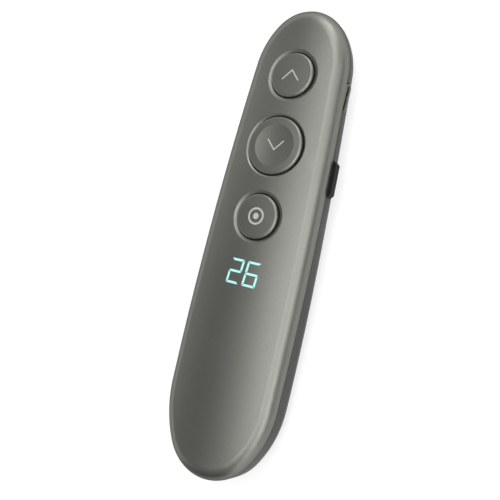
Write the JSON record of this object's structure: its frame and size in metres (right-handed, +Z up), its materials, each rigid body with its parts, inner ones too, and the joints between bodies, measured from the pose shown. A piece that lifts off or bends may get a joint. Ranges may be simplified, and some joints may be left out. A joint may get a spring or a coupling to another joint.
{
  "type": "wireless presentation clicker",
  "caption": "Slim rounded hand-held presentation clicker with round push buttons, a hidden lit number display, a side slide switch, a charging port and a stowed radio receiver.",
  "frame": {"origin": "under the middle of the body, on the plane of its flat underside", "axes": "+Z up out of the button face, +Y along the body to the nose, +X to the side with the charging port and the slide switch"},
  "size_m": [0.0385, 0.15, 0.0198],
  "materials": {
    "shell_paint": "satin metallic grey paint",
    "cap_paint": "satin metallic grey paint",
    "mark_print": "pale grey inlay",
    "lit_digits": "translucent, lit from behind in pale cyan",
    "black_plastic": "fine matte black",
    "white_plastic": "matte white",
    "film": "smoked diffusing film",
    "steel": "bright stamped steel",
    "screw_steel": "zinc plated",
    "circuit_board": "green solder mask",
    "chip": "moulded black epoxy",
    "gold": "gold plated",
    "cell_foil": "silver pouch foil",
    "foam": "black foam tape",
    "lead_rubber": "silicone insulation",
    "magnet_nickel": "nickel plated"
  },
  "bodies": {
    "housing": {"upper_shell": "shell_paint", "lower_shell": "shell_paint", "display_windows": "lit_digits", "display_light_box": "black_plastic", "display_film": "film", "display_leds": "white_plastic", "tact_switches": "black_plastic", "main_board": "circuit_board", "controller_chip": "chip", "motion_sensor": "chip", "charger_chip": "chip", "crystal": "steel", "antenna": "white_plastic", "vibration_motor": "steel", "board_passives": "chip", "port_shell": "steel", "port_tongue": "black_plastic", "port_contacts": "gold", "slide_switch_can": "steel", "battery_pad": "foam", "battery_cell": "cell_foil", "battery_leads": "lead_rubber", "battery_connector": "white_plastic", "case_screws": "screw_steel", "board_screws": "screw_steel", "bay_magnet": "magnet_nickel"},
    "previous_key": {"previous_button": "cap_paint", "previous_icon": "mark_print", "previous_plunger": "white_plastic"},
    "next_key": {"next_button": "cap_paint", "next_icon": "mark_print", "next_plunger": "white_plastic"},
    "spotlight_key": {"spotlight_button": "cap_paint", "spotlight_icon": "mark_print", "spotlight_plunger": "white_plastic"},
    "side_switch": {"side_switch_knob": "black_plastic", "slide_switch_slider": "black_plastic"},
    "receiver": {"receiver_grip": "black_plastic", "receiver_plug": "steel", "receiver_tongue": "black_plastic"}
  },
  "joints": [
    {"name": "previous_press", "type": "slide", "parent": "housing", "child": "previous_key", "axis": [0, 0, -1], "range_m": [0, 0.00035], "stiffness_N_per_m": 3000},
    {"name": "next_press", "type": "slide", "parent": "housing", "child": "next_key", "axis": [0, 0, -1], "range_m": [0, 0.00035], "stiffness_N_per_m": 3000},
    {"name": "spotlight_press", "type": "slide", "parent": "housing", "child": "spotlight_key", "axis": [0, 0, -1], "range_m": [0, 0.00035], "stiffness_N_per_m": 3000},
    {"name": "side_switch_slide", "type": "slide", "parent": "housing", "child": "side_switch", "axis": [0.0447, -0.999, 0], "range_m": [0, 0.0025]},
    {"name": "receiver_pull", "type": "slide", "parent": "housing", "child": "receiver", "axis": [0, 0, -1], "range_m": [0, 0.012]}
  ]
}
